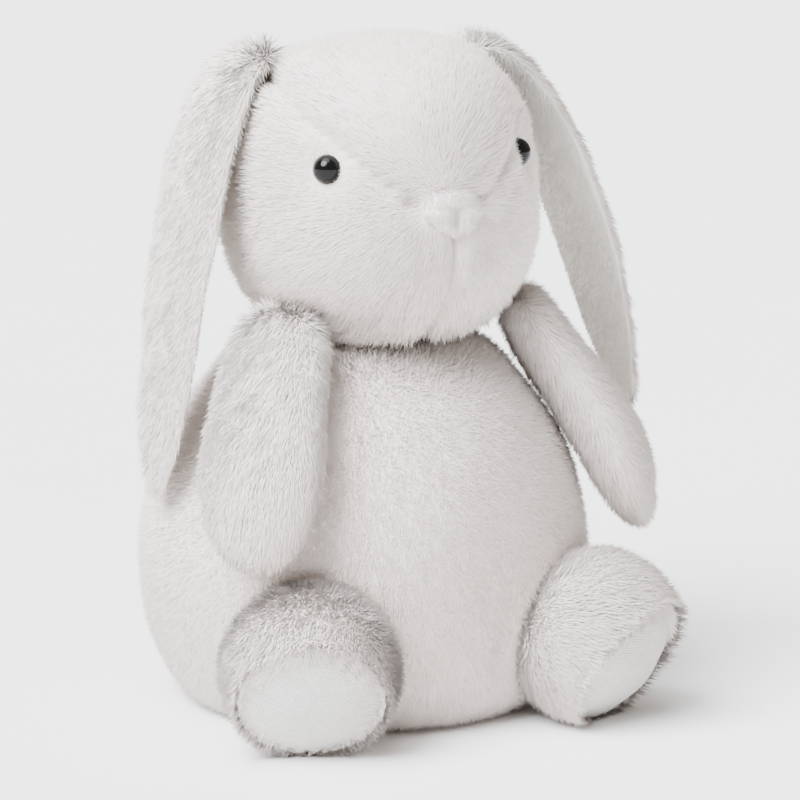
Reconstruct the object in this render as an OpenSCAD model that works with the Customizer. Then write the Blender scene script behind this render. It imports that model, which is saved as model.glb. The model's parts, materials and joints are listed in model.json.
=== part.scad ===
// Stuffed bunny rabbit, seated, with hanging ears.
// It faces -Y, its own left side is +X, and it sits on the plane z = 0.

/* [Fabric] */
// Thickness of the plush, its backing and its settled pile together
plush_t = 4; // [3:0.5:4.5]
// Gap that keeps a filling clear of the fabric round it
fill_gap = 0.25; // [0.2:0.05:0.4]
// Gap between two parts that move on each other
move_gap = 0.5; // [0.4:0.1:0.8]

/* [Body] */
// Greatest radius of the body
body_r = 113.5; // [110:0.5:114]
// Height at which the body is widest
body_wide_z = 72; // [68:1:76]
// Height of the top of the body
body_h = 186; // [184:1:188]
// Radius of the flat seat
seat_r = 76; // [70:1:80]
// Radius of the flat top of the body
neck_r = 52; // [48:1:54]
// Angle that the belly panel spans
belly_span = 130; // [115:5:145]
// Radius of the bean bag in the seat
bean_r = 52; // [40:1:56]
// Height of the bean bag
bean_h = 22; // [14:1:26]

/* [Head] */
// Width and depth of the head
head_w = 155; // [152:1:157]
// Height of the head
head_h = 147; // [145:1:150]
// Gap between the body and the head that rests on its neck
head_gap = 4; // [4:0.1:5]
// How far the head's centre is ahead of the body's centre
head_forward = 18; // [16:1:20]
// Squareness of the head, where 2 is an ellipsoid
head_square = 2.7; // [2.5:0.1:2.8]
// Half width of the brow gusset at the nose
gusset_nose_w = 14; // [10:1:16]
// Half width of the brow gusset at the ears
gusset_ear_w = 58; // [54:1:60]
// Radius of the neck's filling
neck_plug_r = 20; // [18:1:21]
// How far the head is turned towards its right, in degrees
head_turn = 4; // [0:1:6]
// How far the head leans towards its right, in degrees
head_lean = 2.5; // [0:0.5:3]

/* [Eyes and nose] */
// Diameter of an eye
eye_d = 14.5; // [12:0.5:15]
// Distance of each eye from the centre plane
eye_x = 56; // [54:1:58]
// Height of the eyes above the head's centre
eye_up = 17; // [14:1:20]
// How far the eyes are pulled in below the backing of the plush
eye_sink = 1.5; // [1:0.5:3]
// Width of the nose
nose_w = 33; // [31:1:38]
// Height of the nose
nose_h = 23; // [22:1:26]
// How far the nose's middle is below the head's centre
nose_down = 6; // [4:1:8]

/* [Ears] */
// Width of an ear at its root
ear_root_w = 50; // [44:1:54]
// Width of an ear near its tip
ear_tip_w = 60; // [54:1:62]
// Thickness of the furry back of an ear
ear_back_t = 5; // [4:0.5:5]
// Thickness of the smooth lining of an ear
ear_lining_t = 3; // [2:0.5:3]
// How much further out the left ear hangs than the right, in degrees
ear_left_out = 14; // [12:1:18]
// How much more the left ear bows outwards than the right
ear_left_bow = 8; // [4:1:10]

/* [Arms] */
// Width of an arm at its shoulder
arm_top_w = 48; // [44:1:50]
// Width of an arm at its paw
arm_paw_w = 66; // [60:1:68]
// Thickness of an arm at its shoulder
arm_top_t = 24; // [22:1:28]
// Thickness of an arm at its paw
arm_paw_t = 32; // [30:1:34]

/* [Feet] */
// Radius of a foot
foot_r = 41; // [39:1:42]
// Distance from a foot's centre to the edge of its sole
sole_reach = 20; // [17:1:24]
// Distance of a foot's centre from the body's axis
foot_out = 129; // [127:1:131]
// Angle of the left foot's place from straight ahead
foot_left_spread = 31; // [30:1:36]
// Angle of the right foot's place from straight ahead
foot_right_spread = 43; // [38:1:45]
// How far the left sole points out from straight ahead, in degrees
foot_left_turn = 20; // [16:1:30]
// How far the right sole points out from straight ahead, in degrees
foot_right_turn = 29; // [20:1:34]
// How far the soles look down, in degrees
foot_dip = 30; // [24:1:32]

/* [Tail] */
// Radius of the tail
tail_r = 24; // [22:1:26]

/* [Hidden] */
$fn = 96;

// A side is +1 on the bunny's left, where pieces are drawn, and -1 where they are mirrored
left = 1;
right = -1;

// Places
head_centre = [0, -head_forward, body_h + head_gap + head_h / 2];
neck_h = 20;
nod_centre = [0, -head_forward, body_h + neck_h];
neck_ball_r = neck_plug_r + 4;
neck_plug_deep = 24;
foot_ground_gap = 0.8;
function foot_centre(side) =
    let (spread = side == left ? foot_left_spread : foot_right_spread)
    [foot_out * sin(spread), -foot_out * cos(spread), foot_r + foot_ground_gap];
tail_z = 52;
tail_turn = 8.6;
tail_ball_up = 3;
tail_seat_r = seat_r + (body_r - seat_r) * sqrt(1 - pow(1 - tail_z / body_wide_z, 2));

// Face
eye_turn = 45;
eye_lift = 4;
eye_ring_r = (head_w / 2) * pow(1 - pow(2 * eye_up / head_h, head_square), 1 / head_square);
eye_y = sqrt(pow(eye_ring_r, 2) - pow(eye_x, 2));
eye_shank_r = 2.2;
eye_shank = 13;
washer_r = 8;
washer_t = 1.4;
washer_sink = 1.6;
nose_t = 2.4;
gusset_low = 3;
gusset_brow_up = 22;
gusset_ear_up = 42;
back_seam_y = 30;

// Ears: the path of the middle between their two layers, and its bow
function ear_path(bow) = [[55, 3, 330], [90 + bow, 3, 332], [104 + bow, 3, 232], [119, 3, 117]];
ear_sharp = 2.6;

// Arms: the path of the middle, from the shoulder's top to the paw's end
arm_path = [[70, -38, 208], [73, -41, 177], [104, -69, 158], [110, -87, 95]];
arm_length = 145;
arm_sharp = 4;

// ---- profiles ----

// Outline of half the body's section, inset by g
function body_outline(g) = concat(
    [[0, g]],
    [for (a = [90 : -7.5 : 0])
        [seat_r + (body_r - seat_r - g) * cos(a), body_wide_z - (body_wide_z - g) * sin(a)]],
    [for (a = [7.5 : 7.5 : 90])
        [neck_r + (body_r - neck_r - g) * pow(cos(a), 1.5),
         body_wide_z + (body_h - g - body_wide_z) * sin(a)]],
    [[0, body_h - g]]);

// Outline of half the head's section, inset by g
function head_outline(g) =
    let (a = head_w / 2 - g, b = head_h / 2 - g, p = 2 / head_square)
    concat(
        [[0, -b]],
        [for (t = [-81 : 9 : 81])
            [a * pow(cos(t), p), b * sign(sin(t)) * pow(abs(sin(t)), p)]],
        [[0, b]]);

// ---- lofted limbs ----

// Point and direction on a cubic curve with four control points
function curve(p, t) =
    pow(1 - t, 3) * p[0] + 3 * t * pow(1 - t, 2) * p[1] + 3 * t * t * (1 - t) * p[2] + pow(t, 3) * p[3];
function slope(p, t) =
    pow(1 - t, 2) * (p[1] - p[0]) + 2 * t * (1 - t) * (p[2] - p[1]) + t * t * (p[3] - p[2]);
function unit(v) = v / norm(v);

// A limb's size: its widths at start and end, thicknesses at start and end, trim of its ends
// and the sharpness of its ends
function inset(size, g, long) = [
    size[0] - 2 * g, size[1] - 2 * g, size[2] - 2 * g, size[3] - 2 * g, g / long, size[5]];

// Point on a limb: w across its flat, h through its thickness, at v degrees round
function limb_point(path, facing, t, w, h, v) =
    let (
        along = unit(slope(path, t)),
        out = facing == undef ? unit([curve(path, t).x, curve(path, t).y, 0]) : facing,
        across = unit(cross(along, out)),
        up = cross(across, along)
    )
    curve(path, t) + across * w * sin(v) + up * h * cos(v);

// Points of a limb's surface: a pole at each end and n - 1 rings of m sides between them
function limb_grid(path, facing, size, from, to, n, m) = concat(
    [curve(path, size[4])],
    [for (i = [1 : n - 1], j = [0 : m])
        let (
            s = (1 - cos(180 * i / n)) / 2,
            t = size[4] + (1 - 2 * size[4]) * s,
            k = pow(1 - pow(abs(2 * s - 1), size[5]), 0.5),
            w = (size[0] + (size[1] - size[0]) * s) / 2,
            h = (size[2] + (size[3] - size[2]) * s) / 2
        )
        limb_point(path, facing, t, w * k, h * k, from + (to - from) * j / m)],
    [curve(path, 1 - size[4])]);

// Index of a grid point, and the triangles between neighbouring rings
function grid_size(n, m) = 2 + (n - 1) * (m + 1);
function grid_index(base, n, m, i, j) =
    base + (i == 0 ? 0 : i == n ? grid_size(n, m) - 1 : 1 + (i - 1) * (m + 1) + j);
function two_triangles(a, b, c, d, turn) = turn ? [[a, d, c], [a, c, b]] : [[a, b, c], [a, c, d]];
function grid_faces(base, n, m, turn, wrap = false) = [
    for (i = [0 : n - 1], j = [0 : m - 1])
        let (
            k = wrap && j == m - 1 ? 0 : j + 1,
            a = grid_index(base, n, m, i, j),
            b = grid_index(base, n, m, i, k),
            c = grid_index(base, n, m, i + 1, k),
            d = grid_index(base, n, m, i + 1, j)
        )
        each two_triangles(a, b, c, d, turn)];
function rim_faces(n, m, j, turn) = [
    for (i = [0 : n - 1])
        let (
            inner = grid_size(n, m),
            a = grid_index(0, n, m, i, j),
            b = grid_index(0, n, m, i + 1, j),
            c = grid_index(inner, n, m, i + 1, j),
            d = grid_index(inner, n, m, i, j)
        )
        each two_triangles(a, b, c, d, turn)];
function real_triangles(faces) = [
    for (f = faces) if (f[0] != f[1] && f[1] != f[2] && f[2] != f[0]) f];

// Half of a limb's wall, between an outer and an inner size
module limb_shell(path, facing, size, inner, from, n = 14, m = 12) {
    points = concat(
        limb_grid(path, facing, size, from, from + 180, n, m),
        limb_grid(path, facing, inner, from, from + 180, n, m));
    faces = concat(
        grid_faces(0, n, m, true),
        grid_faces(grid_size(n, m), n, m, false),
        rim_faces(n, m, 0, true),
        rim_faces(n, m, m, false));
    polyhedron(points, real_triangles(faces), convexity = 6);
}

// A limb's whole solid
module limb_core(path, facing, size, n = 14, m = 24) {
    polyhedron(
        limb_grid(path, facing, size, 0, 360, n, m),
        real_triangles(grid_faces(0, n, m, true, true)),
        convexity = 4);
}

// ---- placing ----

module on_side(side) {
    mirror([side < 0 ? 1 : 0, 0, 0])
        children();
}

// Puts a foot's own +Z along its pointing direction
module at_foot(side) {
    on_side(side)
        translate(foot_centre(side))
            rotate([90 + foot_dip, 0, side == left ? foot_left_turn : foot_right_turn])
                children();
}

// Turns and leans a head that is drawn facing straight ahead
module head_posed() {
    translate(nod_centre)
        rotate([0, -head_lean, -head_turn])
            translate(-nod_centre)
                children();
}

// Puts an eye's own +Z straight out of the face, with z = 0 at the back of the eye
module at_eye() {
    translate(head_centre + [eye_x, -eye_y, eye_up])
        rotate([90 - eye_lift, 0, eye_turn])
            translate([0, 0, -plush_t - eye_sink])
                children();
}

// ---- body ----

module body_revolve(g) {
    rotate_extrude()
        polygon(body_outline(g));
}

module body_solid(g) {
    difference() {
        body_revolve(g);
        for (side = [left, right])
            on_side(side)
                translate(foot_centre(side))
                    sphere(r = foot_r + move_gap + g);
    }
}

module neck_hole(r) {
    translate([nod_centre.x, nod_centre.y, body_h - neck_plug_deep])
        cylinder(r = r, h = neck_plug_deep + 1);
}

// Wedge of space round the body's axis
module sector(from, to) {
    reach = 2 * body_r;
    translate([0, 0, -1])
        linear_extrude(height = body_h + 2)
            polygon(concat([[0, 0]], [for (k = [0 : 4])
                let (a = from + (to - from) * k / 4)
                [reach * cos(a), reach * sin(a)]]));
}

module body_panel(from, to) {
    intersection() {
        difference() {
            body_solid(0);
            body_solid(plush_t);
            translate([0, 0, -1])
                cylinder(r = seat_r, h = plush_t + 1);
            neck_hole(neck_plug_r + fill_gap);
        }
        sector(from, to);
    }
}

module belly_panel() {
    color("white")
        body_panel(-90 - belly_span / 2, -90 + belly_span / 2);
}

module back_panel_left() {
    color("ghostwhite")
        body_panel(-90 + belly_span / 2, 90);
}

module back_panel_right() {
    color("ghostwhite")
        body_panel(90, 270 - belly_span / 2);
}

module seat_panel() {
    color("ivory")
        cylinder(r = seat_r, h = plush_t);
}

module bean_bag_space(g) {
    edge_r = bean_h / 2 + g;
    translate([0, 0, plush_t + 2 * fill_gap - g])
        rotate_extrude()
            polygon(concat(
                [[0, 0]],
                [for (a = [-90 : 15 : 90])
                    [bean_r - bean_h / 2 + edge_r * cos(a), edge_r * (1 + sin(a))]],
                [[0, 2 * edge_r]]));
}

module seat_bean_bag() {
    color("tan")
        bean_bag_space(0);
}

module body_stuffing() {
    color("floralwhite")
        difference() {
            body_solid(plush_t + fill_gap);
            bean_bag_space(fill_gap);
            neck_hole(neck_plug_r + fill_gap);
        }
}

// Firm plug of filling that carries the head, with a round top for the head to nod on
module neck_stuffing() {
    color("linen")
        union() {
            translate([nod_centre.x, nod_centre.y, body_h - neck_plug_deep + fill_gap])
                cylinder(r = neck_plug_r, h = nod_centre.z - body_h + neck_plug_deep - fill_gap);
            translate(nod_centre)
                sphere(r = neck_ball_r);
        }
}

// Ball with a flat that lies against the back of the body, drawn pointing up
module tail_piece(outer, inner) {
    translate([0, tail_seat_r + fill_gap, tail_z])
        rotate([-90 - tail_turn, 0, 0])
            intersection() {
                difference() {
                    translate([0, 0, tail_ball_up])
                        sphere(r = outer);
                    if (inner > 0)
                        translate([0, 0, tail_ball_up])
                            sphere(r = inner);
                }
                translate([-2 * tail_r, -2 * tail_r, 0])
                    cube(4 * tail_r);
            }
}

module tail_cover() {
    color("white")
        tail_piece(tail_r, tail_r - plush_t);
}

module tail_stuffing() {
    color("floralwhite")
        tail_piece(tail_r - plush_t - fill_gap, 0);
}

// ---- head ----

module head_solid(g) {
    translate(head_centre)
        rotate_extrude()
            polygon(head_outline(g));
}

// Room in the head for the neck's round top, and for the neck below it at every nod
module neck_socket() {
    socket_r = neck_ball_r + move_gap;
    low = body_h - nod_centre.z;
    translate(nod_centre)
        rotate_extrude()
            polygon(concat(
                [[0, low], [socket_r + 1, low], [socket_r + 1, low / 2]],
                [for (a = [0 : 7.5 : 82.5]) [socket_r * cos(a), socket_r * sin(a)]],
                [[0, socket_r]]));
}

// Brow gusset seen from the front: narrow at the nose, wide at the ears
module gusset_space() {
    brow_w = 0.75 * gusset_ear_w;
    low = gusset_low - nose_down;
    translate([0, head_centre.y + back_seam_y, head_centre.z])
        rotate([90, 0, 0])
            linear_extrude(height = head_w)
                polygon([
                    [-gusset_nose_w, low], [gusset_nose_w, low],
                    [brow_w, gusset_brow_up], [gusset_ear_w, gusset_ear_up], [gusset_ear_w, head_h],
                    [-gusset_ear_w, head_h], [-gusset_ear_w, gusset_ear_up],
                    [-brow_w, gusset_brow_up]]);
}

// Half-space block of the head: in front of the back seam, on the left side
module face_space() {
    translate([0, head_centre.y - head_w, body_h])
        cube([head_w, head_w + back_seam_y, head_h + 20]);
}

module head_shell() {
    difference() {
        head_solid(0);
        head_solid(plush_t);
        neck_socket();
    }
}

module head_gusset() {
    color("white")
        head_posed()
            intersection() {
                head_shell();
                gusset_space();
            }
}

module face(side) {
    color("snow")
        head_posed()
            on_side(side)
                difference() {
                    intersection() {
                        head_shell();
                        face_space();
                    }
                    gusset_space();
                    at_eye()
                        cylinder(r = eye_d / 2 + fill_gap, h = 3 * plush_t);
                    at_eye()
                        translate([0, 0, -2 * plush_t])
                            cylinder(r = eye_shank_r + fill_gap, h = 3 * plush_t);
                }
}

module face_left() {
    face(left);
}

module face_right() {
    face(right);
}

module head_back() {
    color("ghostwhite")
        head_posed()
            intersection() {
                head_shell();
                translate([-head_w, head_centre.y + back_seam_y, body_h])
                    cube([2 * head_w, head_w, head_h + 20]);
            }
}

// Room for an eye's shank and its washer
module eye_pocket() {
    hole_r = eye_shank_r + fill_gap;
    room_r = washer_r + fill_gap;
    room_z = -washer_t - washer_sink - fill_gap;
    rotate_extrude()
        polygon([
            [0, -eye_shank - fill_gap], [hole_r, -eye_shank - fill_gap], [hole_r, room_z],
            [room_r, room_z], [room_r, 3 * plush_t], [0, 3 * plush_t]]);
}

module head_stuffing() {
    color("floralwhite")
        head_posed()
            difference() {
                head_solid(plush_t + fill_gap);
                neck_socket();
                for (side = [left, right])
                    on_side(side)
                        at_eye()
                            eye_pocket();
            }
}

// Short-pile pad, arched at its top and narrow at its foot, that follows the front of the face
module nose() {
    corner = 3;
    brow = 12;
    tip = 5;
    color("seashell")
        head_posed()
            intersection() {
                difference() {
                    head_solid(-nose_t);
                    head_solid(-0.05);
                }
                translate(head_centre + [0, 0, -nose_down])
                    rotate([90, 0, 0])
                        linear_extrude(height = head_w)
                            hull() {
                                translate([0, nose_h / 2 - brow])
                                    circle(r = brow, $fn = 48);
                                for (side = [left, right])
                                    translate([side * (nose_w / 2 - corner), 0])
                                        circle(r = corner, $fn = 32);
                                translate([0, tip - nose_h / 2])
                                    circle(r = tip, $fn = 32);
                            }
            }
}

// Domed eye on a shank
module eye(side) {
    dome_h = eye_d * 0.42;
    dome_r = (pow(eye_d / 2, 2) + pow(dome_h, 2)) / (2 * dome_h);
    color("black")
        head_posed()
            on_side(side)
                at_eye()
                    translate([0, 0, fill_gap]) {
                        intersection() {
                            translate([0, 0, dome_h - dome_r + 1])
                                sphere(r = dome_r);
                            cylinder(r = eye_d / 2, h = dome_h + 1);
                        }
                        translate([0, 0, -eye_shank])
                            cylinder(r = eye_shank_r, h = eye_shank + 1);
                    }
}

module eye_left() {
    eye(left);
}

module eye_right() {
    eye(right);
}

// Lock washer that holds the eye from inside the head
module eye_washer(side) {
    color("gainsboro")
        head_posed()
            on_side(side)
                at_eye()
                    translate([0, 0, -washer_t - washer_sink])
                        difference() {
                            cylinder(r = washer_r, h = washer_t);
                            translate([0, 0, -1])
                                cylinder(r = eye_shank_r + 0.05, h = washer_t + 2);
                        }
}

module eye_washer_left() {
    eye_washer(left);
}

module eye_washer_right() {
    eye_washer(right);
}

// ---- ears ----

// One layer of an ear; the two layers meet on the path, a hair apart
module ear_layer(side, thick, from) {
    path = ear_path(side == left ? ear_left_bow : 0);
    hang = side == left ? ear_left_out : 0;
    outer = [ear_root_w, ear_tip_w, 2 * thick, 2 * thick, 0, ear_sharp];
    middle = [ear_root_w - 0.6, ear_tip_w - 0.6, 0.3, 0.3, 0.002, ear_sharp];
    on_side(side)
        translate(path[0])
            rotate([0, -hang, 0])
                translate(-path[0])
                    limb_shell(path, [1, 0, 1], outer, middle, from, 18, 10);
}

module ear_left_back() {
    color("white")
        ear_layer(left, ear_back_t, -90);
}

module ear_left_lining() {
    color("antiquewhite")
        ear_layer(left, ear_lining_t, 90);
}

module ear_right_back() {
    color("white")
        ear_layer(right, ear_back_t, -90);
}

module ear_right_lining() {
    color("antiquewhite")
        ear_layer(right, ear_lining_t, 90);
}

// ---- arms ----

arm_size = [arm_top_w, arm_paw_w, arm_top_t, arm_paw_t, 0, arm_sharp];

module arm_half(side, from) {
    color("white")
        on_side(side)
            limb_shell(arm_path, undef, arm_size, inset(arm_size, plush_t, arm_length), from);
}

module arm_stuffing(side) {
    color("floralwhite")
        on_side(side)
            limb_core(arm_path, undef, inset(arm_size, plush_t + 2 * fill_gap, arm_length));
}

module arm_left_outer() {
    arm_half(left, -90);
}

module arm_left_inner() {
    arm_half(left, 90);
}

module arm_left_stuffing() {
    arm_stuffing(left);
}

module arm_right_outer() {
    arm_half(right, -90);
}

module arm_right_inner() {
    arm_half(right, 90);
}

module arm_right_stuffing() {
    arm_stuffing(right);
}

// ---- feet ----

// Everything behind a plane across the foot, z along the foot's own direction
module behind(z) {
    translate([-2 * foot_r, -2 * foot_r, z - 4 * foot_r])
        cube(4 * foot_r);
}

module foot_upper(side) {
    color("white")
        at_foot(side)
            intersection() {
                difference() {
                    sphere(r = foot_r);
                    sphere(r = foot_r - plush_t);
                }
                behind(sole_reach);
            }
}

// Slightly domed disc that closes the foot's front
module foot_sole(side) {
    edge_r = sqrt(pow(foot_r, 2) - pow(sole_reach, 2));
    dome_h = 9;
    dome_r = (pow(edge_r, 2) + pow(dome_h, 2)) / (2 * dome_h);
    color("oldlace")
        at_foot(side)
            intersection() {
                translate([0, 0, sole_reach])
                    cylinder(r = edge_r, h = dome_h + 1);
                difference() {
                    translate([0, 0, sole_reach + dome_h - dome_r])
                        sphere(r = dome_r);
                    translate([0, 0, sole_reach + dome_h - dome_r])
                        sphere(r = dome_r - plush_t / 2);
                }
            }
}

module foot_stuffing(side) {
    color("floralwhite")
        at_foot(side)
            intersection() {
                sphere(r = foot_r - plush_t - fill_gap);
                behind(sole_reach - fill_gap);
            }
}

module foot_left_upper() {
    foot_upper(left);
}

module foot_left_sole() {
    foot_sole(left);
}

module foot_left_stuffing() {
    foot_stuffing(left);
}

module foot_right_upper() {
    foot_upper(right);
}

module foot_right_sole() {
    foot_sole(right);
}

module foot_right_stuffing() {
    foot_stuffing(right);
}

belly_panel();
back_panel_left();
back_panel_right();
seat_panel();
body_stuffing();
seat_bean_bag();
neck_stuffing();
tail_cover();
tail_stuffing();
head_gusset();
face_left();
face_right();
head_back();
head_stuffing();
nose();
eye_left();
eye_right();
eye_washer_left();
eye_washer_right();
ear_left_back();
ear_left_lining();
ear_right_back();
ear_right_lining();
arm_left_outer();
arm_left_inner();
arm_left_stuffing();
arm_right_outer();
arm_right_inner();
arm_right_stuffing();
foot_left_upper();
foot_left_sole();
foot_left_stuffing();
foot_right_upper();
foot_right_sole();
foot_right_stuffing();
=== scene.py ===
import json
import math

import bmesh
import bpy
import numpy as np
from mathutils import Matrix, Vector, noise


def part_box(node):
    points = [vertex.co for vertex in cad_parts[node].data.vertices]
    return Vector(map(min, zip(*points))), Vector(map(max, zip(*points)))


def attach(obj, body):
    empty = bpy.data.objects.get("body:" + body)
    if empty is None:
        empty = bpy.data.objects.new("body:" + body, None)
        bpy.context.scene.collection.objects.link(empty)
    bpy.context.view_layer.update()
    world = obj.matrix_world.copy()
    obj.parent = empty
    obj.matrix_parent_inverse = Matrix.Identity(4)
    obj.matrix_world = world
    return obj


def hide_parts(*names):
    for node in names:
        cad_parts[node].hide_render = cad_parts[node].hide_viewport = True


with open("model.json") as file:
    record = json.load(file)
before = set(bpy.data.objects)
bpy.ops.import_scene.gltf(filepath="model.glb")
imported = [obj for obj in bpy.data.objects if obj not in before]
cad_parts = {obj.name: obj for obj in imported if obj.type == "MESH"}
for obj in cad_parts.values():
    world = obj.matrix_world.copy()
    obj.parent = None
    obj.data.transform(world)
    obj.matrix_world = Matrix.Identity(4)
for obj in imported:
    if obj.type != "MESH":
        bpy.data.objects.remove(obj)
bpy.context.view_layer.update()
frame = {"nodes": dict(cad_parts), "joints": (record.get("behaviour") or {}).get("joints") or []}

print("frame loaded,", len(frame["nodes"]), "nodes")


# ---- small helpers ----

def mix(a, b, t):
    return a + (b - a) * t


def smoothStep(low, high, x):
    t = min(1, max(0, (x - low) / (high - low)))
    return t * t * (3 - 2 * t)


def hill(distance, width):
    return math.exp(-(distance / width) ** 2)


def ripple(co, size, seed=0):
    # soft signed noise, one wave about every size metres
    return noise.noise(co / size + Vector((seed, 0, 0)))


def toObject(bm, name, *materials):
    mesh = bpy.data.meshes.new(name)
    bm.to_mesh(mesh)
    bm.free()
    mesh.shade_smooth()
    for material in materials:
        mesh.materials.append(material)
    piece = bpy.data.objects.new(name, mesh)
    bpy.context.scene.collection.objects.link(piece)
    return piece


def smoothAll(bm, factor):
    bmesh.ops.smooth_vert(bm, verts=bm.verts, factor=factor, use_axis_x=True, use_axis_y=True,
                          use_axis_z=True)


def applyModifiers(piece):
    graph = bpy.context.evaluated_depsgraph_get()
    graph.update()
    mesh = bpy.data.meshes.new_from_object(piece.evaluated_get(graph))
    old = piece.data
    piece.modifiers.clear()
    piece.data = mesh
    bpy.data.meshes.remove(old)


def thicken(piece, thick):
    # gives an open skin its wall, inwards
    wall = piece.modifiers.new("wall", "SOLIDIFY")
    wall.thickness = thick
    wall.offset = -1
    wall.use_even_offset = False
    wall.use_rim = True
    applyModifiers(piece)
    piece.data.shade_smooth()


# ---- materials ----

def startMaterial(name):
    material = bpy.data.materials.new(name)
    material.use_nodes = True
    nodes = material.node_tree.nodes
    shader = nodes["Principled BSDF"]
    place = nodes.new("ShaderNodeTexCoord")
    return material, nodes, material.node_tree.links, shader, place.outputs["Object"]


def addNoise(nodes, links, place, perMetre, detail=3, rough=0.6):
    tex = nodes.new("ShaderNodeTexNoise")
    tex.inputs["Scale"].default_value = perMetre
    tex.inputs["Detail"].default_value = detail
    tex.inputs["Roughness"].default_value = rough
    links.new(place, tex.inputs["Vector"])
    return tex.outputs["Fac"]


def addRamp(nodes, links, fac, low, high, lowAt=0.35, highAt=0.65):
    ramp = nodes.new("ShaderNodeValToRGB")
    ramp.color_ramp.elements[0].position = lowAt
    ramp.color_ramp.elements[0].color = (*low, 1)
    ramp.color_ramp.elements[1].position = highAt
    ramp.color_ramp.elements[1].color = (*high, 1)
    links.new(fac, ramp.inputs["Fac"])
    return ramp.outputs["Color"]


def addColor(nodes, links, shader, fac, low, high):
    links.new(addRamp(nodes, links, fac, low, high), shader.inputs["Base Color"])


def addBump(nodes, links, shader, height, strength, distance, below=None):
    bump = nodes.new("ShaderNodeBump")
    bump.inputs["Strength"].default_value = strength
    bump.inputs["Distance"].default_value = distance
    links.new(height, bump.inputs["Height"])
    if below is not None:
        links.new(below, bump.inputs["Normal"])
    links.new(bump.outputs["Normal"], shader.inputs["Normal"])
    return bump.outputs["Normal"]


plushValues = {
    "light": (0.92, 0.86, 0.82),
    "dark": (0.86, 0.77, 0.70),
    "sheen": 0.25,
    "grainPerMetre": 1500,
    "mottlePerMetre": 90,
}


def plushMaterial(name, light, dark):
    # backing and roots of the pile
    material, nodes, links, shader, place = startMaterial(name)
    mottle = addNoise(nodes, links, place, plushValues["mottlePerMetre"])
    addColor(nodes, links, shader, mottle, dark, light)
    grain = addNoise(nodes, links, place, plushValues["grainPerMetre"], 2)
    addBump(nodes, links, shader, grain, 0.6, 0.0006)
    shader.inputs["Roughness"].default_value = 0.95
    shader.inputs["Sheen Weight"].default_value = plushValues["sheen"]
    shader.inputs["Specular IOR Level"].default_value = 0.2
    return material


def pileMaterial(name, color):
    material = bpy.data.materials.new(name)
    material.use_nodes = True
    shader = material.node_tree.nodes["Principled BSDF"]
    shader.inputs["Base Color"].default_value = (*color, 1)
    shader.inputs["Roughness"].default_value = 0.9
    shader.inputs["Specular IOR Level"].default_value = 0.15
    return material


whiteBacking = plushMaterial("plushBacking", plushValues["light"], plushValues["dark"])
pileTints = [
    pileMaterial("pileWhite", (0.94, 0.86, 0.82)),
    pileMaterial("pileCream", (0.92, 0.83, 0.775)),
    pileMaterial("pileShade", (0.89, 0.785, 0.71)),
]
liningTints = [
    pileMaterial("liningPileLight", (0.91, 0.875, 0.82)),
    pileMaterial("liningPileWarm", (0.88, 0.83, 0.76)),
    pileMaterial("liningPileShade", (0.83, 0.77, 0.69)),
]

# ---- pile: a small tapered tuft on every point of a skin ----

tuftValues = {
    "sides": 3,
    "sink": 0.12,
    "spread": 1.7e6,
    "apart": 0.62,
    "ownNormal": 0.4,
    "groundHeight": 0.0015,
    "groundGive": 0.004,
}


def makeTuft(name, tints):
    bm = bmesh.new()
    bmesh.ops.create_cone(bm, cap_ends=True, segments=tuftValues["sides"], radius1=1, radius2=0, depth=1)
    bmesh.ops.translate(bm, verts=bm.verts, vec=(0, 0, 0.5 - tuftValues["sink"]))
    mesh = bpy.data.meshes.new(name)
    bm.to_mesh(mesh)
    bm.free()
    for tint in tints:
        mesh.materials.append(tint)
    tuft = bpy.data.objects.new(name, mesh)
    return tuft


whiteTuft = makeTuft("whiteTuft", pileTints)
liningTuft = makeTuft("liningTuft", liningTints)


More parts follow.
